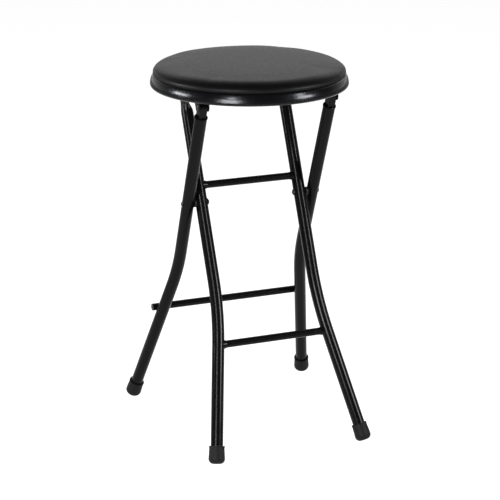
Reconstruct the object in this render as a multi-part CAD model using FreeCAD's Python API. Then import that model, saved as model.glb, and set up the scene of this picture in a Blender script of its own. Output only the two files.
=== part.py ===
import FreeCAD, Part
import math
import os

# A folding bar stool: a round padded seat hinged on the tops of the outer
# tube frame, and an inner tube frame crossing it on two pivot rivets.
# All sizes are in millimetres.  X runs along the rungs, the front (-Y) is the
# side of the inner frame's feet, Z is up and the feet stand on Z = 0.

Vec = FreeCAD.Vector
X_AXIS = Vec(1, 0, 0)
Y_AXIS = Vec(0, 1, 0)
Z_AXIS = Vec(0, 0, 1)

# Tubes and rungs
tube_diameter = 20.0
tube_wall = 1.2
rung_diameter = 12.0
rung_wall = 1.0
rung_end_cap = 1.2
rung_vent_hole = 4.0

# The scissor: where the frames cross and how far they lean
pivot_height = 381.9
inner_tilt = 25.1
outer_tilt = 22.3
inner_leg_spacing = 172.4
pivot_gap = 3.0
running_clearance = 0.1

# The sideways flare of the legs below the pivot
inner_bend_start = 127.1
inner_bend_radius = 605.0
inner_bend_angle = 10.2
outer_bend_start = 99.2
outer_bend_radius = 395.0
outer_bend_angle = 10.5

# Rungs, measured along the frames from the pivot: up is positive
inner_upper_rung_at = 27.8
inner_lower_rung_at = -232.9
outer_rung_at = -230.0
outer_rung_overhang = 2.4
weld_reach = 3.5
weld_spread = 3.6
weld_toe = 0.3

# Pivot rivets
rivet_diameter = 6.0
rivet_hole_clearance = 0.15
rivet_head_diameter = 8.8
rivet_head_height = 1.9
rivet_tail_diameter = 8.0
rivet_tail_height = 2.4
spacer_diameter = 14.0
washer_diameter = 10.4
washer_thickness = 1.0

# Front hinge, where the seat turns on the outer legs' end plugs
pivot_to_hinge = 189.0
hinge_below_pan = 13.0
tube_end_below_hinge = 20.5
plug_collar_diameter = 21.4
plug_collar_height = 3.0
plug_collar_chamfer = 0.8
plug_spigot_length = 22.0
lug_thickness = 12.0
lug_width = 14.0
hinge_pin_diameter = 6.0
hinge_pin_head_diameter = 9.4
hinge_pin_head_height = 1.8

# Rear support, where the seat's hooks rest on the inner legs' pins
pivot_to_support = 174.0
squash_start = 150.0
squash_end = 167.0
squashed_thickness = 7.6
squash_shift = 2.2
squash_corner_ratio = 0.88
round_arc_spread = 11.0
ear_width = 19.0
ear_neck_start = 158.0
ear_neck_end = 164.5
support_pin_diameter = 6.0
support_pin_length = 17.0
pin_chamfer = 0.6
hook_clearance = 0.35

# Seat brackets
bracket_sheet = 2.0
bracket_side_clearance = 0.5
bracket_rim_clearance = 1.0
hook_side_clearance = 0.8
bracket_half_length = 8.5
bracket_drop_below_pin = 6.5
front_tab_length = 40.0
front_screws_at = (21.0, 33.0)
rear_tab_width = 17.0
rear_tab_length = 35.0
rear_screws_at = (16.0, 28.0)
hook_front = 12.0
hook_rear = 10.0
hook_roof_slope = 30.0
hook_lip_drop = 3.7

# Screws and tee nuts that hold the brackets to the seat board
screw_diameter = 5.0
screw_hole_clearance = 0.5
screw_head_diameter = 9.2
screw_head_height = 2.8
screw_recess_width = 1.2
screw_recess_length = 5.0
screw_recess_depth = 1.4
tee_nut_barrel_diameter = 6.6
tee_nut_barrel_length = 7.0
tee_nut_flange_diameter = 16.0
tee_nut_flange_thickness = 1.2
screw_end_past_nut = 1.0

# Seat
seat_behind_pivot = 6.6
pan_sheet = 1.2
pan_flat_radius = 147.0
rim_outer_radius = 159.7
rim_below_flat = 2.4
rim_corner_radius = 5.0
rim_side_radius = 26.0
rim_side_from_angle = 2.0
rim_side_to_angle = 29.0
rim_lip_angle = 68.0
pan_bead_radius = 62.0
pan_bead_width = 9.0
pan_bead_depth = 1.3
board_thickness = 9.0
board_radius = 147.8
rabbet_depth = 1.7
rabbet_width = 15.0
cover_thickness = 1.0
hem_width = 13.0
pad_radius = 155.3
pad_neck_radius = 150.4
pad_neck_height = 13.0
pad_bulge_height = 18.9
pad_side_radius = 11.3
pad_side_end_angle = 53.1
pad_shoulder_radius = 25.8
pad_crown = 6.5
pad_swell_out = 0.35
pad_swell_down = 0.25
staple_count = 24
staple_crown_length = 10.0
staple_wire = 0.5
staple_leg_length = 5.0

# Rubber foot tips
foot_diameter = 26.4
foot_top_diameter = 24.6
foot_lip_diameter = 25.6
foot_lip_height = 2.0
foot_length = 28.0
foot_pad_thickness = 5.0
foot_edge_radius = 8.0
foot_flat_depth = 0.8

# Values that follow from the sizes above
tube_radius = tube_diameter / 2
rung_radius = rung_diameter / 2
inner_x = inner_leg_spacing / 2
outer_x = inner_x + tube_diameter + pivot_gap
hinge_z = pivot_height + pivot_to_hinge * math.cos(math.radians(outer_tilt))
hinge_y = -pivot_to_hinge * math.sin(math.radians(outer_tilt))
support_z = pivot_height + pivot_to_support * math.cos(math.radians(inner_tilt))
support_y = pivot_to_support * math.sin(math.radians(inner_tilt))
pan_under_z = hinge_z + hinge_below_pan
board_z = pan_under_z + pan_sheet
foam_z = board_z + board_thickness
ear_x = inner_x + squash_shift


def disc_face(radius, hole, centre, normal):
    """A round face, with a round hole when one is given."""
    rim = Part.Wire(Part.makeCircle(radius, centre, normal))
    if hole <= 0:
        return Part.Face(rim)
    bore = Part.Wire(Part.makeCircle(hole, centre, normal))
    return Part.Face(rim).cut(Part.Face(bore)).Faces[0]


def rod(radius, start, end):
    """A solid cylinder between two points."""
    run = end - start
    return Part.makeCylinder(radius, run.Length, start, run)


def prism(points, normal_depth):
    """A flat closed outline pushed through by a vector."""
    return Part.Face(Part.makePolygon(points + [points[0]])).extrude(normal_depth)


def turned(edges, centre_y=0.0):
    """A closed outline in the XZ plane turned about the seat's upright axis."""
    solid = Part.Face(Part.Wire(edges)).revolve(Vec(0, 0, 0), Z_AXIS, 360)
    solid.translate(Vec(0, centre_y, 0))
    return solid


def line(a, b):
    return Part.LineSegment(Vec(a[0], 0, a[1]), Vec(b[0], 0, b[1])).toShape()


def arc(a, middle, b):
    return Part.Arc(Vec(a[0], 0, a[1]), Vec(middle[0], 0, middle[1]),
                    Vec(b[0], 0, b[1])).toShape()


def on_circle(centre, radius, degrees):
    turn = math.radians(degrees)
    return (centre[0] + radius * math.cos(turn), centre[1] + radius * math.sin(turn))


def mirrored(shape):
    """The left-hand copy of a right-hand piece."""
    return shape.mirror(Vec(0, 0, 0), X_AXIS)


def lean(shape, tilt):
    """Stand a piece, built upright about the pivot, at its frame's lean."""
    leaning = shape.copy()
    leaning.rotate(Vec(0, 0, 0), X_AXIS, tilt)
    leaning.translate(Vec(0, 0, pivot_height))
    return leaning


def bend_end(leg_x, start, radius, angle):
    turn = math.radians(angle)
    return Vec(leg_x + radius * (1 - math.cos(turn)), 0, -start - radius * math.sin(turn))


def flare_direction(angle):
    turn = math.radians(angle)
    return Vec(math.sin(turn), 0, -math.cos(turn))


def foot_point(leg_x, start, radius, angle, tilt):
    """The middle of a foot tip's underside, upright about the pivot."""
    foot_radius = foot_diameter / 2
    lean_cos = math.cos(math.radians(angle)) * math.cos(math.radians(tilt))
    lean_sin = math.sqrt(1 - lean_cos ** 2)
    height = (foot_edge_radius * (1 - lean_cos)
              + (foot_radius - foot_edge_radius) * lean_sin - foot_flat_depth)
    depth = (pivot_height - height) / math.cos(math.radians(tilt))
    bend = bend_end(leg_x, start, radius, angle)
    run = (depth + bend.z) / math.cos(math.radians(angle))
    return bend + flare_direction(angle) * run


def bent_tube(leg_x, top, start, radius, angle, tilt, outside, inside):
    """One leg, upright about the pivot: straight, a long bend, then straight."""
    bend = bend_end(leg_x, start, radius, angle)
    down = flare_direction(angle)
    end = foot_point(leg_x, start, radius, angle, tilt) - down * foot_pad_thickness
    head = Vec(leg_x, 0, -start)
    upper = disc_face(outside, inside, head, Z_AXIS).extrude(Vec(0, 0, top + start))
    curve = disc_face(outside, inside, head, Z_AXIS).revolve(
        Vec(leg_x + radius, 0, -start), Y_AXIS, -angle)
    lower = disc_face(outside, inside, bend, down).extrude(end - bend)
    return upper.fuse([curve, lower]).removeSplitter()


def leg_centre_at(leg_x, start, radius, along):
    """Where a leg's centre line is, at a distance along the frame."""
    below = -along - start
    if below <= 0:
        return leg_x
    return leg_x + radius - math.sqrt(radius ** 2 - below ** 2)


def squashed_outline(share, inset, level):
    """The tube's section as it is pressed flat: four arcs, round at share 0."""
    half = tube_radius + (squashed_thickness / 2 - tube_radius) * share
    reach = half + math.pi / 2 * (tube_radius - half)
    corner = half * (1 - (1 - squash_corner_ratio) * share)
    middle = inner_x + squash_shift * share
    if share <= 0:
        side = half
        first = math.radians(round_arc_spread)
    else:
        side = (half + corner) / 2 + (reach - corner) ** 2 / (2 * (half - corner))
        first = math.atan2(reach - corner, side - half)
    side_offset = side - half
    corner_offset = reach - corner
    side -= inset
    corner -= inset
    turns = ((0.0, -side_offset, 0.0, side), (90.0, 0.0, corner_offset, corner),
             (180.0, side_offset, 0.0, side), (270.0, 0.0, -corner_offset, corner))
    edges = []
    for facing, dx, dy, radius in turns:
        spread = first if facing in (0.0, 180.0) else math.pi / 2 - first
        points = []
        for angle in (-spread, 0.0, spread):
            turn = math.radians(facing) + angle
            points.append(Vec(middle + dx + radius * math.cos(turn),
                              dy + radius * math.sin(turn), level))
        edges.append(Part.Arc(*points).toShape())
    return Part.Wire(edges)


def squashed_top(inset):
    """The inner leg's top, from the round tube to the flat ear's end."""
    steps = 6
    outlines = []
    for step in range(steps + 1):
        part = step / steps
        share = part * part * (3 - 2 * part)
        level = squash_start + (squash_end - squash_start) * part
        outlines.append(squashed_outline(share, inset, level))
    taper = Part.makeLoft(outlines, True, False)
    top = pivot_to_support + ear_width / 2 + inset
    flat = Part.Face(squashed_outline(1.0, inset, squash_end)).extrude(
        Vec(0, 0, top - squash_end))
    return taper.fuse(flat)


def make_inner_leg():
    """The right inner leg, with its top pressed into a flat ear."""
    leg = bent_tube(inner_x, squash_start, inner_bend_start, inner_bend_radius,
                    inner_bend_angle, inner_tilt, tube_radius, tube_radius - tube_wall)
    top = squashed_top(0.0).cut(squashed_top(tube_wall))
    across = 2 * tube_radius
    start = inner_x - across
    through = Vec(2 * across, 0, 0)
    half = ear_width / 2
    ear = prism([Vec(start, -across, 0), Vec(start, across, 0),
                 Vec(start, across, ear_neck_start), Vec(start, half, ear_neck_end),
                 Vec(start, half, pivot_to_support), Vec(start, -half, pivot_to_support),
                 Vec(start, -half, ear_neck_end), Vec(start, -across, ear_neck_start)],
                through)
    ear = ear.fuse(rod(half, Vec(start, 0, pivot_to_support),
                       Vec(start, 0, pivot_to_support) + through))
    leg = leg.fuse(top.common(ear)).removeSplitter()
    leg = leg.cut(rod(support_pin_diameter / 2, Vec(start, 0, pivot_to_support),
                      Vec(start, 0, pivot_to_support) + through))
    leg = leg.cut(rod((rivet_diameter + rivet_hole_clearance) / 2,
                      Vec(inner_x - tube_diameter, 0, 0), Vec(inner_x + tube_diameter, 0, 0)))
    return leg


def make_outer_leg():
    """The right outer leg: a plain bent tube, drilled for the pivot rivet."""
    top = pivot_to_hinge - tube_end_below_hinge
    leg = bent_tube(outer_x, top, outer_bend_start, outer_bend_radius,
                    outer_bend_angle, outer_tilt, tube_radius, tube_radius - tube_wall)
    return leg.cut(rod((rivet_diameter + rivet_hole_clearance) / 2,
                       Vec(outer_x - tube_diameter, 0, 0), Vec(outer_x + tube_diameter, 0, 0)))


def leg_body(inner):
    """A leg's outside as one full solid, used to fit rungs and welds to it."""
    if inner:
        return bent_tube(inner_x, squash_start, inner_bend_start, inner_bend_radius,
                         inner_bend_angle, inner_tilt, tube_radius, 0)
    return bent_tube(outer_x, pivot_to_hinge - tube_end_below_hinge, outer_bend_start,
                     outer_bend_radius, outer_bend_angle, outer_tilt, tube_radius, 0)


def weld_collar(bar, start, end, bodies):
    """A weld bead: a cone round a joint, less the pieces that it joins."""
    run = end - start
    collar = Part.makeCone(rung_radius + weld_spread, rung_radius + weld_toe, run.Length, start, run)
    return collar.cut([bar] + bodies)


def make_inner_rung(along):
    """A rung that butts against the inner legs, and its two weld beads."""
    reach = leg_centre_at(inner_x, inner_bend_start, inner_bend_radius, along)
    left = Vec(-reach, 0, along)
    right = Vec(reach, 0, along)
    bodies = [leg_body(True), mirrored(leg_body(True))]
    bar = rod(rung_radius, left, right)
    rung = bar.cut(rod(rung_radius - rung_wall, left, right)).cut(bodies)
    weld = weld_collar(bar, right, right - Vec(tube_radius + weld_reach, 0, 0), bodies)
    return rung, [weld, mirrored(weld)]


def make_outer_rung():
    """The rung across the rear faces of the outer legs, and its weld beads."""
    crossing = leg_centre_at(outer_x, outer_bend_start, outer_bend_radius, outer_rung_at)
    bend = bend_end(outer_x, outer_bend_start, outer_bend_radius, outer_bend_angle)
    if outer_rung_at < bend.z:
        crossing = bend.x + (bend.z - outer_rung_at) * math.tan(math.radians(outer_bend_angle))
    behind = tube_radius + rung_radius
    reach = crossing + tube_radius + outer_rung_overhang
    left = Vec(-reach, behind, outer_rung_at)
    right = Vec(reach, behind, outer_rung_at)
    bar = rod(rung_radius, left, right)
    cap = Vec(rung_end_cap, 0, 0)
    rung = bar.cut(rod(rung_radius - rung_wall, left + cap, right - cap))
    rung = rung.cut(rod(rung_vent_hole / 2, left, right))
    weld = weld_collar(bar, Vec(crossing, 0, outer_rung_at),
                       Vec(crossing, behind, outer_rung_at), [leg_body(False)])
    return rung, [weld, mirrored(weld)]


def make_plug():
    """The end plug of an outer leg: spigot, collar and the hinge lug."""
    tube_end = pivot_to_hinge - tube_end_below_hinge
    collar_top = tube_end + plug_collar_height
    spigot = rod(tube_radius - tube_wall, Vec(outer_x, 0, tube_end - plug_spigot_length),
                 Vec(outer_x, 0, tube_end))
    collar = rod(plug_collar_diameter / 2, Vec(outer_x, 0, tube_end), Vec(outer_x, 0, collar_top))
    collar = collar.makeChamfer(plug_collar_chamfer, [collar.Edges[0], collar.Edges[2]])
    side = outer_x - lug_thickness / 2
    lug = Part.makeBox(lug_thickness, lug_width, pivot_to_hinge - collar_top,
                       Vec(side, -lug_width / 2, collar_top))
    eye = rod(lug_width / 2, Vec(side, 0, pivot_to_hinge),
              Vec(side + lug_thickness, 0, pivot_to_hinge))
    hole = rod((hinge_pin_diameter + rivet_hole_clearance) / 2,
               Vec(side - 1, 0, pivot_to_hinge), Vec(side + lug_thickness + 1, 0, pivot_to_hinge))
    return spigot.fuse([collar, lug, eye]).removeSplitter().cut(hole)


def dome(radius, height, base, direction):
    """A low domed rivet head standing on a flat base."""
    ball = (radius ** 2 + height ** 2) / (2 * height)
    centre = base - direction * (ball - height)
    return Part.makeSphere(ball, centre).common(rod(radius, base, base + direction * (height + 1)))


def make_rivet():
    """The right pivot rivet, its spacer and the washer under its tail."""
    outside = outer_x + tube_radius
    inside = inner_x - tube_radius - running_clearance
    tail = inside - washer_thickness
    shank = rod(rivet_diameter / 2, Vec(tail, 0, 0), Vec(outside, 0, 0))
    head = dome(rivet_head_diameter / 2, rivet_head_height, Vec(outside, 0, 0), X_AXIS)
    clinch = dome(rivet_tail_diameter / 2, rivet_tail_height, Vec(tail, 0, 0), X_AXIS * -1)
    rivet = shank.fuse([head, clinch]).removeSplitter()
    bore = rod(rivet_diameter / 2, Vec(0, 0, 0), Vec(outside, 0, 0))
    gap = inner_x + tube_radius + running_clearance
    spacer = rod(spacer_diameter / 2, Vec(gap, 0, 0), Vec(gap + pivot_gap - running_clearance, 0, 0))
    washer = rod(washer_diameter / 2, Vec(tail, 0, 0), Vec(inside, 0, 0))
    return rivet, spacer.cut(bore), washer.cut(bore)


def make_support_pin():
    """The cross pin through the inner leg's ear that carries the rear hook."""
    half = support_pin_length / 2
    pin = rod(support_pin_diameter / 2, Vec(ear_x - half, 0, pivot_to_support),
              Vec(ear_x + half, 0, pivot_to_support))
    return pin.makeChamfer(pin_chamfer, [pin.Edges[0], pin.Edges[2]])


def make_foot(leg_x, start, radius, angle, tilt):
    """A rubber tip on a leg's end: a tapered cup with a round edge and a lip."""
    wide = foot_diameter / 2
    edge = foot_edge_radius
    neck = foot_top_diameter / 2
    lip = foot_lip_diameter / 2
    under_lip = foot_length - foot_lip_height
    round_edge = (wide - edge, edge)
    flat_end = on_circle(round_edge, edge, -90)
    side_start = on_circle(round_edge, edge, 0)
    corners = [(lip, under_lip), (lip, foot_length), (tube_radius, foot_length),
               (tube_radius, foot_pad_thickness), (0, foot_pad_thickness), (0, 0), flat_end]
    edges = [arc(flat_end, on_circle(round_edge, edge, -45), side_start),
             line(side_start, (neck, under_lip)), line((neck, under_lip), corners[0])]
    edges += [line(a, b) for a, b in zip(corners, corners[1:])]
    body = turned(edges)
    body.rotate(Vec(0, 0, 0), Y_AXIS, -angle)
    body.translate(foot_point(leg_x, start, radius, angle, tilt))
    return body


def cut_at_floor(foot):
    box = foot.BoundBox
    margin = 5.0
    below = Part.makeBox(box.XLength + 2 * margin, box.YLength + 2 * margin, 2 * margin,
                         Vec(box.XMin - margin, box.YMin - margin, -2 * margin))
    return foot.cut(below)


def screw_holes(centres, low, high, diameter):
    return [rod(diameter / 2, Vec(x, y, low), Vec(x, y, high)) for x, y in centres]


def clear_of_rim(bracket):
    """Trim a bracket to the pan's flat, so that it stays inside the rolled rim."""
    rim_under = pan_under_z - rim_below_flat - bracket_rim_clearance
    reach = pan_flat_radius - bracket_rim_clearance
    middle = Vec(0, seat_behind_pivot, 0)
    height = pan_under_z - rim_under
    outside = Part.makeCylinder(3 * reach, height, middle + Vec(0, 0, rim_under))
    flat = Part.makeCylinder(reach, height, middle + Vec(0, 0, rim_under))
    return bracket.cut(outside.cut(flat))


def make_front_bracket():
    """The right clevis that the front of the seat turns with."""
    inside = lug_thickness / 2 + bracket_side_clearance
    outside = inside + bracket_sheet
    top = pan_under_z - hinge_z
    under = top - bracket_sheet
    half = bracket_half_length
    plate = Part.makeBox(2 * outside, half + front_tab_length, bracket_sheet,
                         Vec(-outside, -half, under))
    round_end = rod(half, Vec(-outside, 0, 0), Vec(outside, 0, 0)).common(
        Part.makeBox(2 * outside, 2 * half, 2 * half,
                     Vec(-outside, -half, -bracket_drop_below_pin)))
    cheek = prism([Vec(-outside, -half, 0), Vec(-outside, half, 0),
                   Vec(-outside, 2 * half, under), Vec(-outside, 2 * half, top),
                   Vec(-outside, -half, top)], Vec(2 * outside, 0, 0))
    slot = Part.makeBox(2 * inside, 6 * half, under + 2 * half,
                        Vec(-inside, -3 * half, -2 * half))
    bracket = plate.fuse([round_end.fuse(cheek).cut(slot)]).removeSplitter()
    bracket = bracket.cut(rod(hinge_pin_diameter / 2, Vec(-outside - 1, 0, 0),
                              Vec(outside + 1, 0, 0)))
    holes = screw_holes([(0, y) for y in front_screws_at], under - 1, top + 1,
                        screw_diameter + screw_hole_clearance)
    bracket = bracket.cut(holes)
    bracket.translate(Vec(outer_x, hinge_y, hinge_z))
    bracket = clear_of_rim(bracket)
    pin = rod(hinge_pin_diameter / 2, Vec(-outside, 0, 0), Vec(outside, 0, 0))
    heads = [dome(hinge_pin_head_diameter / 2, hinge_pin_head_height, Vec(outside, 0, 0), X_AXIS),
             dome(hinge_pin_head_diameter / 2, hinge_pin_head_height, Vec(-outside, 0, 0),
                  X_AXIS * -1)]
    pin = pin.fuse(heads).removeSplitter()
    pin.translate(Vec(outer_x, hinge_y, hinge_z))
    return bracket, pin


def make_rear_bracket():
    """The right hook that rests on the inner leg's pin, open to the front."""
    inside = squashed_thickness / 2 + hook_side_clearance
    outside = inside + bracket_sheet
    top = pan_under_z - support_z
    under = top - bracket_sheet
    seat_gap = support_pin_diameter / 2 + hook_clearance
    slope = math.radians(hook_roof_slope)
    touch_y = seat_gap * math.sin(slope)
    touch_z = seat_gap * math.cos(slope)
    front_z = touch_z + (hook_front + touch_y) * math.tan(slope)
    back_z = touch_z - (seat_gap - touch_y) * math.tan(slope)
    cheek = prism([Vec(-outside, -hook_front, front_z), Vec(-outside, seat_gap, back_z),
                   Vec(-outside, seat_gap, -hook_lip_drop),
                   Vec(-outside, hook_rear, -hook_lip_drop),
                   Vec(-outside, hook_rear, top), Vec(-outside, -hook_front, top)],
                  Vec(2 * outside, 0, 0))
    slot = Part.makeBox(2 * inside, 6 * hook_front, under + 2 * hook_front,
                        Vec(-inside, -3 * hook_front, -2 * hook_front))
    plate = Part.makeBox(rear_tab_width, hook_front + rear_tab_length, bracket_sheet,
                         Vec(-rear_tab_width / 2, -hook_front, under))
    bracket = plate.fuse(cheek.cut(slot)).removeSplitter()
    holes = screw_holes([(0, y) for y in rear_screws_at], under - 1, top + 1,
                        screw_diameter + screw_hole_clearance)
    bracket = bracket.cut(holes)
    bracket.translate(Vec(ear_x, support_y, support_z))
    return clear_of_rim(bracket)


def bracket_screw_places():
    places = [(outer_x, hinge_y + y) for y in front_screws_at]
    places += [(ear_x, support_y + y) for y in rear_screws_at]
    return places + [(-x, y) for x, y in places]


def make_screw(x, y):
    """A pan-head screw with a cross recess, up through bracket, pan and board."""
    under = pan_under_z - bracket_sheet
    tip = foam_z + tee_nut_flange_thickness + screw_end_past_nut
    head = dome(screw_head_diameter / 2, screw_head_height, Vec(x, y, under), Z_AXIS * -1)
    shank = rod(screw_diameter / 2, Vec(x, y, under), Vec(x, y, tip))
    low = under - screw_head_height
    long_half = screw_recess_length / 2
    thin_half = screw_recess_width / 2
    recess = []
    for half_x, half_y in ((long_half, thin_half), (thin_half, long_half)):
        recess.append(Part.makeBox(2 * half_x, 2 * half_y, screw_recess_depth + 1,
                                   Vec(x - half_x, y - half_y, low - 1)))
    return head.fuse(shank).removeSplitter().cut(recess)


def make_tee_nut(x, y):
    flange = rod(tee_nut_flange_diameter / 2, Vec(x, y, foam_z),
                 Vec(x, y, foam_z + tee_nut_flange_thickness))
    barrel = rod(tee_nut_barrel_diameter / 2, Vec(x, y, foam_z - tee_nut_barrel_length),
                 Vec(x, y, foam_z))
    bore = rod(screw_diameter / 2, Vec(x, y, board_z), Vec(x, y, foam_z + 2 * tee_nut_barrel_length))
    return flange.fuse(barrel).cut(bore)


def make_staple(turn):
    """A staple pressed through the hem into the underside of the board."""
    hem_under = board_z + rabbet_depth - cover_thickness
    radius = board_radius + cover_thickness - hem_width / 2
    half = staple_crown_length / 2
    size = staple_wire
    crown = Part.makeBox(size, 2 * half, size, Vec(radius - size / 2, -half, hem_under - size))
    legs = []
    for y in (-half, half - size):
        legs.append(Part.makeBox(size, size, staple_leg_length,
                                 Vec(radius - size / 2, y, hem_under)))
    staple = crown.fuse(legs).removeSplitter()
    staple.rotate(Vec(0, 0, 0), Z_AXIS, turn)
    staple.translate(Vec(0, seat_behind_pivot, 0))
    return staple


def rim_outline(inset):
    """The rolled rim's section: a lower corner, a side that leans inwards, an upper corner."""
    start = rim_side_from_angle
    end = rim_side_to_angle
    reach = rim_side_radius - rim_corner_radius
    rise = rim_corner_radius - reach * math.sin(math.radians(start))
    outermost = rim_side_radius + (rim_corner_radius - rim_side_radius) * (
        1 - math.cos(math.radians(start)))
    middle = (rim_outer_radius - outermost, pan_under_z - rim_below_flat + rise)
    low = on_circle(middle, reach, start)
    high = on_circle(middle, reach, end)
    corner = rim_corner_radius - inset
    return [[on_circle(low, corner, angle) for angle in (-90, (start - 90) / 2, start)],
            [on_circle(middle, rim_side_radius - inset, angle)
             for angle in (start, (start + end) / 2, end)],
            [on_circle(high, corner, angle)
             for angle in (end, (end + rim_lip_angle) / 2, rim_lip_angle)]]


def make_pan():
    """The pressed steel seat pan, flat with one bead and a rolled rim."""
    low = pan_under_z
    high = pan_under_z + pan_sheet
    half = pan_bead_width / 2
    step = pan_bead_depth
    bead_in = pan_bead_radius - half
    bead_out = pan_bead_radius + half
    outside = rim_outline(0.0)
    inside = rim_outline(pan_sheet)
    under = [(0, low), (bead_in, low), (bead_in + step, low - step),
             (bead_out - step, low - step), (bead_out, low), (pan_flat_radius, low),
             outside[0][0]]
    over = [inside[0][0], (pan_flat_radius + pan_sheet / 2, high), (bead_out, high),
            (bead_out - step, high - step), (bead_in + step, high - step), (bead_in, high),
            (0, high)]
    edges = [line(a, b) for a, b in zip(under, under[1:])]
    edges += [arc(*points) for points in outside]
    edges.append(line(outside[-1][2], inside[-1][2]))
    edges += [arc(*reversed(points)) for points in reversed(inside)]
    edges += [line(a, b) for a, b in zip(over, over[1:])]
    edges.append(line(over[-1], under[0]))
    return turned(edges, seat_behind_pivot)


def pad_outline(inset):
    """The padded seat's side and crown, from the board's top edge to the axis."""
    board_edge = board_radius + cover_thickness - inset
    neck = (pad_neck_radius - inset, pan_under_z + pad_neck_height)
    bulge = (pad_radius - inset, pan_under_z + pad_bulge_height)
    turn = pad_side_end_angle
    side_centre = (pad_radius - pad_side_radius, bulge[1])
    shoulder_centre = on_circle(side_centre, pad_side_radius - pad_shoulder_radius, turn)
    side = pad_side_radius - inset
    side_end = on_circle(side_centre, side, turn)
    shoulder = pad_shoulder_radius - inset
    end_angle = 90 - math.degrees(2 * pad_crown / shoulder_centre[0])
    shoulder_end = on_circle(shoulder_centre, shoulder, end_angle)
    top = (0, shoulder_end[1] + pad_crown)
    ball = (shoulder_end[0] ** 2 + pad_crown ** 2) / (2 * pad_crown)
    rise = math.degrees(math.asin(shoulder_end[0] / ball))
    half_way = on_circle((0, top[1] - ball), ball, 90 - rise / 2)
    start = (board_edge, foam_z)
    swell = ((neck[0] + bulge[0]) / 2 + pad_swell_out,
             (neck[1] + bulge[1]) / 2 - pad_swell_down)
    edges = [line(start, neck), arc(neck, swell, bulge),
             arc(bulge, on_circle(side_centre, side, turn / 2), side_end),
             arc(side_end, on_circle(shoulder_centre, shoulder, (turn + end_angle) / 2),
                 shoulder_end),
             arc(shoulder_end, half_way, top)]
    return edges, start, top


def make_foam():
    edges, start, top = pad_outline(cover_thickness)
    bottom = (0, foam_z)
    foam = turned(edges + [line(top, bottom), line(bottom, start)], seat_behind_pivot)
    pockets = [make_tee_nut(x, y).fuse(
        rod(screw_diameter / 2, Vec(x, y, foam_z),
            Vec(x, y, foam_z + tee_nut_flange_thickness + screw_end_past_nut)))
        for x, y in bracket_screw_places()]
    return foam.cut(pockets)


def make_board():
    """The seat board, with a rabbet round its underside for the cover's hem."""
    middle = Vec(0, seat_behind_pivot, 0)
    board = Part.makeCylinder(board_radius, board_thickness, middle + Vec(0, 0, board_z))
    rabbet = Part.makeCylinder(board_radius + 1, rabbet_depth, middle + Vec(0, 0, board_z))
    rabbet = rabbet.cut(Part.makeCylinder(board_radius - rabbet_width, rabbet_depth,
                                          middle + Vec(0, 0, board_z)))
    board = board.cut(rabbet)
    barrels = screw_holes(bracket_screw_places(), foam_z - tee_nut_barrel_length, foam_z + 1,
                          tee_nut_barrel_diameter)
    holes = screw_holes(bracket_screw_places(), board_z - 1, foam_z,
                        screw_diameter + screw_hole_clearance)
    legs = [make_staple(turn) for turn in staple_turns()]
    return board.cut(barrels + holes).cut(legs)


def staple_turns():
    return [360.0 * (index + 0.5) / staple_count for index in range(staple_count)]


def make_cover():
    """The vinyl cover over foam and board edge, hemmed under the board."""
    hem_under = board_z + rabbet_depth - cover_thickness
    outer_edges, start, top = pad_outline(0.0)
    bottom = (0, hem_under)
    edge = (start[0], hem_under)
    outside = turned(outer_edges + [line(top, bottom), line(bottom, edge), line(edge, start)],
                     seat_behind_pivot)
    inner_edges, inner_start, inner_top = pad_outline(cover_thickness)
    hem_over = hem_under + cover_thickness
    hem_edge = start[0] - hem_width
    inside = turned(inner_edges + [line(inner_top, (0, hem_under - 1)),
                                   line((0, hem_under - 1), (hem_edge, hem_under - 1)),
                                   line((hem_edge, hem_under - 1), (hem_edge, hem_over)),
                                   line((hem_edge, hem_over), (inner_start[0], hem_over)),
                                   line((inner_start[0], hem_over), inner_start)],
                    seat_behind_pivot)
    legs = [make_staple(turn) for turn in staple_turns()]
    return outside.cut(inside).cut(legs)


def both_sides(nodes, name, shape):
    nodes[name + "_right"] = shape
    nodes[name + "_left"] = mirrored(shape)


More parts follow.
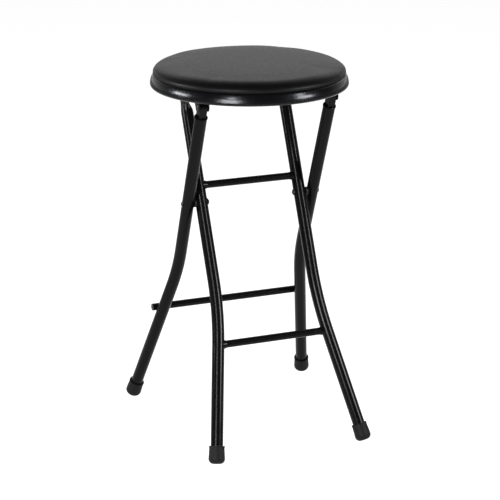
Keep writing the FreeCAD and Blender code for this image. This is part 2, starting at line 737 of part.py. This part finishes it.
def build():
    nodes = {}
    nodes["seat_cover"] = make_cover()
    nodes["seat_foam"] = make_foam()
    nodes["seat_board"] = make_board()
    pan = make_pan()
    nodes["seat_pan"] = pan.cut(screw_holes(
        bracket_screw_places(), pan_under_z - 1, board_z + 1, screw_diameter + screw_hole_clearance))
    nodes["cover_staples"] = Part.makeCompound([make_staple(turn) for turn in staple_turns()])
    nodes["board_tee_nuts"] = Part.makeCompound(
        [make_tee_nut(x, y) for x, y in bracket_screw_places()])
    nodes["bracket_screws"] = Part.makeCompound(
        [make_screw(x, y) for x, y in bracket_screw_places()])
    front_bracket, hinge_pin = make_front_bracket()
    both_sides(nodes, "front_bracket", front_bracket)
    both_sides(nodes, "hinge_pin", hinge_pin)
    both_sides(nodes, "rear_bracket", make_rear_bracket())

    outer_foot = make_foot(outer_x, outer_bend_start, outer_bend_radius,
                           outer_bend_angle, outer_tilt)
    rivet, spacer, washer = make_rivet()
    outer_pieces = {"outer_leg": make_outer_leg(), "outer_plug": make_plug(),
                    "pivot_rivet": rivet, "pivot_spacer": spacer, "pivot_washer": washer}
    for name, shape in outer_pieces.items():
        both_sides(nodes, name, lean(shape, outer_tilt))
    both_sides(nodes, "outer_foot", cut_at_floor(lean(outer_foot, outer_tilt)))
    rung, welds = make_outer_rung()
    nodes["outer_rung"] = lean(rung, outer_tilt)
    nodes["outer_rung_welds"] = lean(Part.makeCompound(welds), outer_tilt)

    inner_foot = make_foot(inner_x, inner_bend_start, inner_bend_radius,
                           inner_bend_angle, inner_tilt)
    both_sides(nodes, "inner_leg", lean(make_inner_leg(), -inner_tilt))
    both_sides(nodes, "support_pin", lean(make_support_pin(), -inner_tilt))
    both_sides(nodes, "inner_foot", cut_at_floor(lean(inner_foot, -inner_tilt)))
    upper_rung, upper_welds = make_inner_rung(inner_upper_rung_at)
    lower_rung, lower_welds = make_inner_rung(inner_lower_rung_at)
    nodes["inner_upper_rung"] = lean(upper_rung, -inner_tilt)
    nodes["inner_lower_rung"] = lean(lower_rung, -inner_tilt)
    nodes["inner_rung_welds"] = lean(Part.makeCompound(upper_welds + lower_welds), -inner_tilt)
    return nodes


def centre_on_floor(nodes):
    """Put the origin under the middle of the whole stool's box."""
    boxes = [nodes[name].optimalBoundingBox(False) for name in
             ("seat_pan", "outer_foot_right", "inner_foot_right")]
    middle = (min(box.YMin for box in boxes) + max(box.YMax for box in boxes)) / 2
    for shape in nodes.values():
        shape.translate(Vec(0, -middle, 0))
    return middle


def main():
    os.makedirs("parts", exist_ok=True)
    nodes = build()
    middle = centre_on_floor(nodes)
    for name, shape in nodes.items():
        shape.exportStep("parts/" + name + ".step")
        print(name, "solids", len(shape.Solids), "valid", shape.isValid(),
              "volume", round(shape.Volume, 1))
    print("pivot y", round(-middle, 3), "z", pivot_height)
    print("hinge y", round(hinge_y - middle, 3), "z", round(hinge_z, 3))
    print("support pin y", round(support_y - middle, 3), "z", round(support_z, 3))
    print("seat centre y", round(seat_behind_pivot - middle, 3), "pan underside z",
          round(pan_under_z, 3))
    print("seat top z", round(nodes["seat_cover"].BoundBox.ZMax, 3))


main()
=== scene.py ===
import math

import bmesh
import bpy
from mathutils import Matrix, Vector


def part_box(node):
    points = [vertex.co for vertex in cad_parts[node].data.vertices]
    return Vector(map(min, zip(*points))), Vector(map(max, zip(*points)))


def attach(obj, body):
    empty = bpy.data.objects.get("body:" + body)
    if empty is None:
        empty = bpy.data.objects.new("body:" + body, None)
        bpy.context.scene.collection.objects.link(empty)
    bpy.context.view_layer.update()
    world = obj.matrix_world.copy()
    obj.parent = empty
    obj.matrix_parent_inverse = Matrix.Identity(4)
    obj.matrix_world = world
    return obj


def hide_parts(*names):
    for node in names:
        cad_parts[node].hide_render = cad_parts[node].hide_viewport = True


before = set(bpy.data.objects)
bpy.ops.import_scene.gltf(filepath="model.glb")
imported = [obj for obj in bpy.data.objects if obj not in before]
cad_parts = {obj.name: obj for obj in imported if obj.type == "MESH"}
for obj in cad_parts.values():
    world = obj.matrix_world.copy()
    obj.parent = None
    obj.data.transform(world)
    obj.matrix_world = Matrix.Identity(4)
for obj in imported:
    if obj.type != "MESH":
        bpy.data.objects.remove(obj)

# The looks of a folding bar stool: a padded vinyl seat in a glossy rolled rim,
# carried by two crossed frames of black powder-coated tube. Lengths are metres.
MM = 0.001

# Points of a new piece that lie nearer than this become one
merge_distance = 0.01 * MM

# The photograph's view
camera_place = Vector((-1.0448, -2.6179, 1.1942))
camera_aim = Vector((0.0010, 0.0170, 0.2885))
camera_lens = 129.6
camera_sensor = 36.0

# Studio: azimuth 0 is straight in front and 90 is the stool's right hand
studio_centre = Vector((0, 0, 0.42))
studio_radius = 2.3
sweep_azimuth = 158
sweep_tint = (1, 1, 1)
lamp_tint = (0.95, 0.96, 1.0)

# The backdrop's lamp: azimuth, elevation, width, height and radiance
sweep_lamp = (sweep_azimuth, 36, 2.6, 1.2, 1.2)

# Lamps for the metal, set in the same way
metal_lamps = {
    "front_lamp": (-43, 9, 0.78, 0.58, 38),
    "left_lamp": (-105, 14, 0.75, 0.46, 38),
    "right_lamp": (43, 14, 0.72, 0.46, 38),
    "front_strip": (-42, 27, 0.24, 0.50, 40),
    "right_strip": (40, 27, 0.24, 0.50, 40),
}

# Low lamps for the pad
pad_lamps = {
    "low_front_lamp": (-43, 1, 0.78, 0.24, 50),
    "low_left_lamp": (-105, 1, 0.75, 0.24, 50),
    "low_right_lamp": (43, 1, 0.72, 0.24, 50),
}

# What the world shows: white to the camera, and these to glossy surfaces
background_level = 1.0
surround_level = 0.096
front_level = 0.234
front_dim_above = 0.12
backdrop_level = 0.405
backdrop_dim_above = 0.25
backdrop_edge = 0.2
backdrop_full = 0.62

# The floor, bright near the stool and dim to glossy surfaces further off
floor_colour = (0.34, 0.34, 0.335, 1)
floor_glow = 0.93
floor_size = 16.0
floor_bright_reach = 0.45
floor_dim_reach = 0.95
floor_far_level = 0.2

# The padded seat
pad_bulge_height = 9.2 * MM
pad_side_radius = 11.3 * MM
pad_side_turn = math.radians(53.1)
pad_shoulder_radius = 25.8 * MM
pad_neck_inset = 4.9 * MM
pad_neck_height = 2.8 * MM
pad_start_crown = 4.3 * MM
pad_start_spare = 0.6 * MM
pad_rise_limit = 2.2 * MM
pad_held_height = 0.5 * MM
pad_grid = 72
pad_crown_steps = 30
pad_side_steps = 8
pad_pressure = 4.0
pad_frames = 20
pad_even_passes = 60

# The cover's hem
cover_thickness = 1.0 * MM
hem_width = 13.0 * MM
hem_bend = 0.3 * MM
hem_segments = 128


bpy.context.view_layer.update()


def new_finish(name):
    """A material with an empty principled shader, and its node tree."""
    material = bpy.data.materials.new(name)
    material.use_nodes = True
    shader = material.node_tree.nodes["Principled BSDF"]
    return material, material.node_tree, shader


def object_place(tree):
    """The piece's own coordinates, so a pattern stays on it when it turns."""
    return tree.nodes.new("ShaderNodeTexCoord").outputs["Object"]


def noise(tree, scale, detail=2.0, roughness=0.5):
    """Even noise in the piece's own space, in grains per metre."""
    texture = tree.nodes.new("ShaderNodeTexNoise")
    texture.inputs["Scale"].default_value = scale
    texture.inputs["Detail"].default_value = detail
    texture.inputs["Roughness"].default_value = roughness
    tree.links.new(object_place(tree), texture.inputs["Vector"])
    return texture.outputs["Fac"]


def cells(tree, scale, feature="F1", smooth=None):
    """Distances from the middles of small cells, in cells per metre."""
    texture = tree.nodes.new("ShaderNodeTexVoronoi")
    texture.feature = feature
    texture.inputs["Scale"].default_value = scale
    if smooth is not None:
        texture.inputs["Smoothness"].default_value = smooth
    tree.links.new(object_place(tree), texture.inputs["Vector"])
    return texture.outputs["Distance"]


def ranged(tree, value, low, high, to_low, to_high):
    """A value moved from one range to another, held at its ends."""
    node = tree.nodes.new("ShaderNodeMapRange")
    node.inputs["From Min"].default_value = low
    node.inputs["From Max"].default_value = high
    node.inputs["To Min"].default_value = to_low
    node.inputs["To Max"].default_value = to_high
    tree.links.new(value, node.inputs["Value"])
    return node.outputs["Result"]


def coloured(tree, shader, pattern, first, second):
    """The shader's colour, drawn between two colours by a pattern."""
    node = tree.nodes.new("ShaderNodeMix")
    node.data_type = "RGBA"
    tree.links.new(pattern, node.inputs["Factor"])
    node.inputs["A"].default_value = (*first, 1)
    node.inputs["B"].default_value = (*second, 1)
    tree.links.new(node.outputs["Result"], shader.inputs["Base Color"])


def hazed(tree, shader, pattern, smoothest, roughest, pattern_low=0.3, pattern_high=0.7):
    """The shader's roughness, moved between two values by a pattern."""
    haze = ranged(tree, pattern, pattern_low, pattern_high, smoothest, roughest)
    tree.links.new(haze, shader.inputs["Roughness"])


def combined(tree, operation, first, second=0.0):
    """A sum, product or other result of one or two values, each a socket or a number."""
    node = tree.nodes.new("ShaderNodeMath")
    node.operation = operation
    for socket, value in zip(node.inputs, (first, second)):
        if isinstance(value, bpy.types.NodeSocket):
            tree.links.new(value, socket)
        else:
            socket.default_value = value
    return node.outputs[0]


def raise_bumps(tree, shader, height, depth, strength=1.0, below=None):
    """Bumps of a real depth in metres, one layer over another."""
    node = tree.nodes.new("ShaderNodeBump")
    node.inputs["Distance"].default_value = depth
    node.inputs["Strength"].default_value = strength
    tree.links.new(height, node.inputs["Height"])
    if below is not None:
        tree.links.new(below, node.inputs["Normal"])
    tree.links.new(node.outputs["Normal"], shader.inputs["Normal"])
    return node.outputs["Normal"]


def vinyl_finish():
    """Smooth upholstery vinyl with a fine leather grain."""
    material, tree, shader = new_finish("black_vinyl")
    mottle = noise(tree, 38, 3)
    coloured(tree, shader, mottle, (0.0040, 0.0040, 0.0040), (0.0062, 0.0060, 0.0056))
    hazed(tree, shader, noise(tree, 210, 3), 0.40, 0.47)
    shader.inputs["Specular IOR Level"].default_value = 0.16
    pebbles = cells(tree, 1250, "SMOOTH_F1", 0.35)
    below = raise_bumps(tree, shader, pebbles, 0.05 * MM, 0.35)
    creases = noise(tree, 620, 4, 0.6)
    raise_bumps(tree, shader, creases, 0.04 * MM, 0.3, below)
    return material


def rim_finish():
    """Deep gloss black enamel on the rolled steel rim."""
    material, tree, shader = new_finish("gloss_enamel")
    mottle = noise(tree, 24, 2)
    coloured(tree, shader, mottle, (0.0014, 0.0014, 0.0017), (0.0022, 0.0022, 0.0026))
    hazed(tree, shader, noise(tree, 55, 4), 0.19, 0.23, pattern_low=0.35)
    shader.inputs["Specular IOR Level"].default_value = 0.19
    raise_bumps(tree, shader, noise(tree, 260, 2), 0.02 * MM, 0.12)
    return material


def frame_finish():
    """Semi-gloss powder coat with a fine orange peel."""
    material, tree, shader = new_finish("powder_coat")
    mottle = noise(tree, 30, 3)
    coloured(tree, shader, mottle, (0.0016, 0.0016, 0.0016), (0.0028, 0.0027, 0.0026))
    hazed(tree, shader, noise(tree, 95, 4), 0.17, 0.23, pattern_low=0.35)
    shader.inputs["Specular IOR Level"].default_value = 0.09
    below = raise_bumps(tree, shader, noise(tree, 420, 2), 0.03 * MM, 0.22)
    raise_bumps(tree, shader, noise(tree, 1500, 2), 0.01 * MM, 0.2, below)
    return material


def rivet_finish():
    """Black oxide on the turned rivets, spacers and pins."""
    material, tree, shader = new_finish("black_oxide")
    mottle = noise(tree, 300, 4)
    coloured(tree, shader, mottle, (0.010, 0.010, 0.011), (0.020, 0.019, 0.018))
    shader.inputs["Metallic"].default_value = 0.35
    hazed(tree, shader, noise(tree, 500, 3), 0.30, 0.42)
    shader.inputs["Specular IOR Level"].default_value = 0.25
    raise_bumps(tree, shader, noise(tree, 900, 3), 0.03 * MM, 0.4)
    return material


def zinc_finish():
    """Bright zinc plating with a soft crystal pattern."""
    material, tree, shader = new_finish("zinc_plate")
    spangle = cells(tree, 700)
    coloured(tree, shader, spangle, (0.42, 0.42, 0.43), (0.62, 0.61, 0.58))
    shader.inputs["Metallic"].default_value = 1.0
    hazed(tree, shader, noise(tree, 600, 3), 0.25, 0.42)
    raise_bumps(tree, shader, noise(tree, 1400, 3), 0.01 * MM, 0.4)
    return material


def rubber_finish():
    """Matt black rubber with a dusty bloom and a moulded grain."""
    material, tree, shader = new_finish("black_rubber")
    bloom = noise(tree, 130, 5, 0.6)
    coloured(tree, shader, bloom, (0.0025, 0.0025, 0.0025), (0.0062, 0.0060, 0.0058))
    hazed(tree, shader, noise(tree, 350, 3), 0.5, 0.66)
    shader.inputs["Specular IOR Level"].default_value = 0.12
    raise_bumps(tree, shader, noise(tree, 1600, 3), 0.05 * MM, 0.5)
    return material


def board_finish():
    """Pressed chipboard: pale flakes in a tan binder."""
    material, tree, shader = new_finish("chipboard")
    flakes = cells(tree, 260)
    tint = ranged(tree, flakes, 0.0, 0.9, 0.0, 1.0)
    coloured(tree, shader, tint, (0.36, 0.23, 0.12), (0.56, 0.41, 0.25))
    shader.inputs["Roughness"].default_value = 0.85
    raise_bumps(tree, shader, flakes, 0.2 * MM, 0.5)
    return material


def seat_places():
    """The seat's own heights and radii, read from the fixed frame."""
    cover_low, cover_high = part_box("seat_cover")
    board_low, board_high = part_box("seat_board")
    centre = (cover_low + cover_high) / 2
    return {
        "centre": Vector((centre.x, centre.y, 0)),
        "radius": (cover_high.x - cover_low.x) / 2,
        "board_top": board_high.z,
        "board_radius": (board_high.x - board_low.x) / 2,
        "hem_low": cover_low.z,
    }


def new_piece(name, shape, smooth=True):
    """A piece in the scene, made of a finished bmesh."""
    mesh = bpy.data.meshes.new(name)
    shape.to_mesh(mesh)
    shape.free()
    for face in mesh.polygons:
        face.use_smooth = smooth
    piece = bpy.data.objects.new(name, mesh)
    bpy.context.scene.collection.objects.link(piece)
    return piece


def spun(name, outline, centre, segments):
    """A closed outline of (radius, height) points spun about the seat's axis."""
    shape = bmesh.new()
    points = [shape.verts.new((centre.x + radius, centre.y, height)) for radius, height in outline]
    edges = [shape.edges.new(pair) for pair in zip(points, points[1:])]
    bmesh.ops.spin(shape, geom=points + edges, cent=centre, axis=(0, 0, 1), angle=math.tau,
                   steps=segments, use_merge=True, use_duplicate=False)
    bmesh.ops.remove_doubles(shape, verts=shape.verts, dist=merge_distance)
    bmesh.ops.recalc_face_normals(shape, faces=shape.faces)
    return new_piece(name, shape)


def pad_outline(seat, spare, crown):
    """The pad's crown and side, from the middle of its top down to its hem."""
    level = seat["board_top"] + pad_bulge_height
    side_middle = seat["radius"] - pad_side_radius
    back = pad_shoulder_radius - pad_side_radius
    middle = side_middle - back * math.cos(pad_side_turn)
    low = level - back * math.sin(pad_side_turn)
    reach = pad_shoulder_radius + spare
    last_turn = math.pi / 2 - 2 * crown / middle
    edge = middle + reach * math.cos(last_turn)
    start = low + reach * math.sin(last_turn)
    ball = (edge ** 2 + crown ** 2) / (2 * crown)
    points = []
    for index in range(pad_crown_steps):
        out = edge * index / pad_crown_steps
        points.append((out, start + crown - ball + math.sqrt(ball ** 2 - out ** 2)))
    for index in range(pad_side_steps):
        turn = last_turn + (pad_side_turn - last_turn) * index / pad_side_steps
        points.append((middle + reach * math.cos(turn), low + reach * math.sin(turn)))
    reach = pad_side_radius + spare
    for index in range(pad_side_steps + 1):
        turn = pad_side_turn * (1 - index / pad_side_steps)
        points.append((side_middle + reach * math.cos(turn), level + reach * math.sin(turn)))
    points.append((seat["radius"] - pad_neck_inset, seat["board_top"] + pad_neck_height))
    points.append((seat["board_radius"] + cover_thickness, seat["board_top"]))
    return points


def along(points, share):
    """The point at a share of an outline's length."""
    lengths = [math.dist(a, b) for a, b in zip(points, points[1:])]
    left = sum(lengths) * share
    for start, end, length in zip(points, points[1:], lengths):
        if left <= length:
            part = left / length
            return (start[0] + (end[0] - start[0]) * part, start[1] + (end[1] - start[1]) * part)
        left -= length
    return points[-1]


def on_disc(across, up):
    """A square's point moved onto a round disc: its share of the radius and its direction."""
    if abs(across) > abs(up):
        return abs(across), math.pi / 4 * up / across + (math.pi if across < 0 else 0)
    if up == 0:
        return 0.0, 0.0
    return abs(up), math.pi / 2 - math.pi / 4 * across / up + (math.pi if up < 0 else 0)


def pad_shell(name, seat, outline):
    """A closed pad without poles: an even net over its top and side, and one under it."""
    rings = [along(outline, index * 2 / pad_grid) for index in range(pad_grid // 2 + 1)]
    foot_radius, foot_height = rings[-1]
    middle = seat["centre"]
    width = pad_grid + 1
    shape = bmesh.new()
    nets = []
    for over in (True, False):
        net = []
        for row in range(width):
            for column in range(width):
                edge = row in (0, pad_grid) or column in (0, pad_grid)
                if edge and not over:
                    net.append(nets[0][len(net)])
                    continue
                share, turn = on_disc(2 * column / pad_grid - 1, 2 * row / pad_grid - 1)
                out, height = foot_radius * share, foot_height
                if over:
                    out, height = rings[round(share * pad_grid / 2)]
                net.append(shape.verts.new((middle.x + out * math.cos(turn),
                                            middle.y + out * math.sin(turn), height)))
        nets.append(net)
        for row in range(pad_grid):
            for column in range(pad_grid):
                first = row * width + column
                corners = [net[first], net[first + 1], net[first + width + 1], net[first + width]]
                shape.faces.new(corners if over else corners[::-1])
    bmesh.ops.recalc_face_normals(shape, faces=shape.faces)
    return new_piece(name, shape)


def evened(mesh, steps, held):
    """The moves of a net's points, each drawn towards its neighbours' moves."""
    near = [[] for point in mesh.vertices]
    for edge in mesh.edges:
        first, second = edge.vertices
        near[first].append(second)
        near[second].append(first)
    for even_pass in range(pad_even_passes):
        steps = [step if index in held else
                 (step + sum((steps[other] for other in near[index]), Vector())
                  / len(near[index])) / 2 for index, step in enumerate(steps)]
    return steps


def swollen(piece, held_below):
    """The pad's cover blown up against its foam, no further than a few millimetres."""
    rest = [vertex.co.copy() for vertex in piece.data.vertices]
    still = {v.index for v in piece.data.vertices if v.co.z < held_below}
    held = piece.vertex_groups.new(name="held")
    held.add(list(still), 1.0, "REPLACE")
    cloth = piece.modifiers.new("cloth", "CLOTH")
    fabric = cloth.settings
    fabric.quality = 8
    fabric.mass = 0.3
    fabric.tension_stiffness = 30
    fabric.compression_stiffness = 30
    fabric.shear_stiffness = 20
    fabric.bending_stiffness = 8
    fabric.tension_damping = 20
    fabric.compression_damping = 20
    fabric.shear_damping = 20
    fabric.bending_damping = 4
    fabric.air_damping = 4
    fabric.use_pressure = True
    fabric.uniform_pressure_force = pad_pressure
    fabric.vertex_group_mass = "held"
    fabric.effector_weights.gravity = 0
    cloth.collision_settings.use_collision = False
    cloth.point_cache.frame_start = 1
    cloth.point_cache.frame_end = pad_frames
    for moment in range(1, pad_frames + 1):
        bpy.context.scene.frame_set(moment)
    evaluated = piece.evaluated_get(bpy.context.evaluated_depsgraph_get())
    moved = [vertex.co.copy() for vertex in evaluated.data.vertices]
    piece.modifiers.remove(cloth)
    piece.vertex_groups.clear()
    steps = []
    for start, end in zip(rest, moved):
        step = end - start
        if step.length > pad_rise_limit:
            step *= pad_rise_limit / step.length
        steps.append(step)
    steps = evened(piece.data, steps, still)
    for vertex, start, step in zip(piece.data.vertices, rest, steps):
        vertex.co = start + step
    bpy.context.scene.frame_set(1)


def softened(piece):
    """One subdivision over the pad's net."""
    smooth = piece.modifiers.new("rounding", "SUBSURF")
    smooth.levels = 1
    smooth.render_levels = 1


def make_cushion(seat, vinyl):
    """The padded top: foam and vinyl as one crowned pad."""
    pad = pad_shell("cushion", seat, pad_outline(seat, pad_start_spare, pad_start_crown))
    swollen(pad, seat["board_top"] + pad_held_height)
    softened(pad)
    pad.data.materials.append(vinyl)
    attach(pad, "seat")
    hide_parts("seat_cover", "seat_foam")
    return pad


def make_hem(seat, vinyl):
    """The vinyl wrapped down the board's edge and turned under it."""
    wall = cover_thickness
    top = seat["board_top"]
    low = seat["hem_low"]
    out = seat["board_radius"] + wall
    inner = out - wall
    outline = [(inner, top), (out, top), (out, low + wall), (out - hem_bend, low + hem_bend),
               (inner, low), (out - hem_width, low), (out - hem_width, low + wall),
               (inner, low + wall), (inner, top)]
    skirt = spun("cover_hem", outline, seat["centre"], hem_segments)
    skirt.data.materials.append(vinyl)
    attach(skirt, "seat")


def ray_kinds(tree):
    """1 for the camera's rays, and 1 for those that a glossy or clear surface sends on."""
    rays = tree.nodes.new("ShaderNodeLightPath")
    sent_on = combined(tree, "MAXIMUM", rays.outputs["Is Glossy Ray"],
                       rays.outputs["Is Transmission Ray"])
    return rays.outputs["Is Camera Ray"], sent_on


def towards(tree, split, azimuth):
    """How far a place, given by its separate coordinates, lies towards an azimuth."""
    turn = math.radians(azimuth)
    return combined(tree, "ADD", combined(tree, "MULTIPLY", split.outputs["X"], math.sin(turn)),
                    combined(tree, "MULTIPLY", split.outputs["Y"], -math.cos(turn)))


def front_distance(tree):
    """How far a floor point is from the stool, to its front or to a side."""
    split = tree.nodes.new("ShaderNodeSeparateXYZ")
    tree.links.new(object_place(tree), split.inputs[0])
    front = combined(tree, "MAXIMUM", towards(tree, split, sweep_azimuth - 180), 0.0)
    aside = towards(tree, split, sweep_azimuth - 90)
    square = combined(tree, "ADD", combined(tree, "MULTIPLY", front, front),
                      combined(tree, "MULTIPLY", aside, aside))
    return combined(tree, "SQRT", square)


def make_floor():
    """A plain pale floor that shows white and keeps the stool's shadow."""
    shape = bmesh.new()
    bmesh.ops.create_grid(shape, x_segments=1, y_segments=1, size=floor_size / 2)
    floor = new_piece("floor", shape, smooth=False)
    material = bpy.data.materials.new("studio_floor")
    material.use_nodes = True
    tree = material.node_tree
    tree.nodes.clear()
    near = ranged(tree, front_distance(tree), floor_bright_reach, floor_dim_reach, 1.0,
                  floor_far_level)
    camera_ray, sent_on = ray_kinds(tree)
    shown = combined(tree, "MAXIMUM", camera_ray, combined(tree, "MULTIPLY", sent_on, near))
    paint = tree.nodes.new("ShaderNodeBsdfDiffuse")
    paint.inputs["Color"].default_value = floor_colour
    glow = tree.nodes.new("ShaderNodeEmission")
    tree.links.new(combined(tree, "MULTIPLY", shown, floor_glow), glow.inputs["Strength"])
    top = tree.nodes.new("ShaderNodeAddShader")
    tree.links.new(paint.outputs[0], top.inputs[0])
    tree.links.new(glow.outputs[0], top.inputs[1])
    # From below the floor is clear
    clear = tree.nodes.new("ShaderNodeBsdfTransparent")
    facing = tree.nodes.new("ShaderNodeNewGeometry")
    side = tree.nodes.new("ShaderNodeMixShader")
    tree.links.new(facing.outputs["Backfacing"], side.inputs[0])
    tree.links.new(top.outputs[0], side.inputs[1])
    tree.links.new(clear.outputs[0], side.inputs[2])
    output = tree.nodes.new("ShaderNodeOutputMaterial")
    tree.links.new(side.outputs[0], output.inputs["Surface"])
    floor.data.materials.append(material)


def make_surroundings():
    """A studio that shows white to the camera, and to glossy surfaces dim in its front."""
    world = bpy.data.worlds.new("studio")
    bpy.context.scene.world = world
    world.use_nodes = True
    tree = world.node_tree
    tree.nodes.clear()
    direction = tree.nodes.new("ShaderNodeTexCoord")
    split = tree.nodes.new("ShaderNodeSeparateXYZ")
    tree.links.new(direction.outputs["Generated"], split.inputs[0])
    height = split.outputs["Z"]
    low = ranged(tree, height, 0.0, front_dim_above, front_level, 0.0)
    backdrop = ranged(tree, height, 0.0, backdrop_dim_above, 1.0, backdrop_level)
    behind = ranged(tree, towards(tree, split, sweep_azimuth), backdrop_edge, backdrop_full,
                    0.0, 1.0)
    bright = combined(tree, "MAXIMUM", low, combined(tree, "MULTIPLY", behind, backdrop))
    white = ranged(tree, bright, 0.0, 1.0, surround_level, background_level)
    camera_ray, sent_on = ray_kinds(tree)
    level = tree.nodes.new("ShaderNodeMix")
    tree.links.new(sent_on, level.inputs["Factor"])
    level.inputs["A"].default_value = surround_level
    tree.links.new(white, level.inputs["B"])
    seen = combined(tree, "MULTIPLY", camera_ray, background_level)
    light = tree.nodes.new("ShaderNodeBackground")
    light.inputs["Color"].default_value = (1, 1, 1, 1)
    tree.links.new(combined(tree, "MAXIMUM", level.outputs["Result"], seen),
                   light.inputs["Strength"])
    output = tree.nodes.new("ShaderNodeOutputWorld")
    tree.links.new(light.outputs[0], output.inputs["Surface"])


def place_lamp(name, azimuth, elevation, width, height, radiance, tint):
    """A soft box at a direction from the stool, facing it."""
    across = math.radians(azimuth)
    up = math.radians(elevation)
    way = Vector((math.sin(across) * math.cos(up), -math.cos(across) * math.cos(up),
                  math.sin(up)))
    light = bpy.data.lights.new(name, "AREA")
    light.shape = "RECTANGLE"
    light.size = width
    light.size_y = height
    light.energy = radiance * math.pi * width * height
    light.color = tint
    lamp = bpy.data.objects.new(name, light)
    lamp.location = studio_centre + way * studio_radius
    lamp.rotation_euler = (-way).to_track_quat("-Z", "Y").to_euler()
    lamp.visible_camera = False
    bpy.context.scene.collection.objects.link(lamp)
    return lamp


def link_lamp(lamp, piece, state):
    """With INCLUDE the lamp lights this piece alone, and with EXCLUDE all but this piece."""
    group = bpy.data.collections.new(lamp.name + "_linked")
    group.objects.link(piece)
    lamp.light_linking.receiver_collection = group
    group.collection_objects[0].light_linking.link_state = state


def make_studio(cushion):
    """Lamps for the metal and lower ones for the pad, so none glares on the pad's top."""
    make_floor()
    make_surroundings()
    place_lamp("sweep_lamp", *sweep_lamp, sweep_tint)
    for name, setting in metal_lamps.items():
        link_lamp(place_lamp(name, *setting, lamp_tint), cushion, "EXCLUDE")
    for name, setting in pad_lamps.items():
        link_lamp(place_lamp(name, *setting, lamp_tint), cushion, "INCLUDE")


def make_camera():
    """The camera at the photograph's view."""
    camera = bpy.data.cameras.new("camera")
    camera.sensor_width = camera_sensor
    camera.lens = camera_lens
    holder = bpy.data.objects.new("camera", camera)
    holder.location = camera_place
    holder.rotation_euler = (camera_aim - camera_place).to_track_quat("-Z", "Y").to_euler()
    bpy.context.scene.collection.objects.link(holder)
    bpy.context.scene.camera = holder


def dress_frame(finishes):
    """Every carried-over node gets the finish of its kind."""
    kinds = {
        "seat_pan": "rim", "seat_board": "board", "cover_staples": "zinc",
        "board_tee_nuts": "zinc", "bracket_screws": "zinc",
    }
    for prefix in ("inner_foot", "outer_foot"):
        kinds[prefix + "_left"] = "rubber"
        kinds[prefix + "_right"] = "rubber"
    for prefix in ("pivot_rivet", "pivot_spacer", "pivot_washer", "hinge_pin", "support_pin"):
        kinds[prefix + "_left"] = "rivets"
        kinds[prefix + "_right"] = "rivets"
    for name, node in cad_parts.items():
        for slot in node.material_slots:
            slot.material = finishes[kinds.get(name, "frame")]


def main():
    """The whole scene: finishes, the padded seat, the studio and the camera."""
    bpy.context.scene.view_settings.view_transform = "Standard"
    finishes = {
        "rim": rim_finish(), "frame": frame_finish(), "rivets": rivet_finish(),
        "zinc": zinc_finish(), "rubber": rubber_finish(), "board": board_finish(),
    }
    vinyl = vinyl_finish()
    seat = seat_places()
    dress_frame(finishes)
    cushion = make_cushion(seat, vinyl)
    make_hem(seat, vinyl)
    make_studio(cushion)
    make_camera()


main()
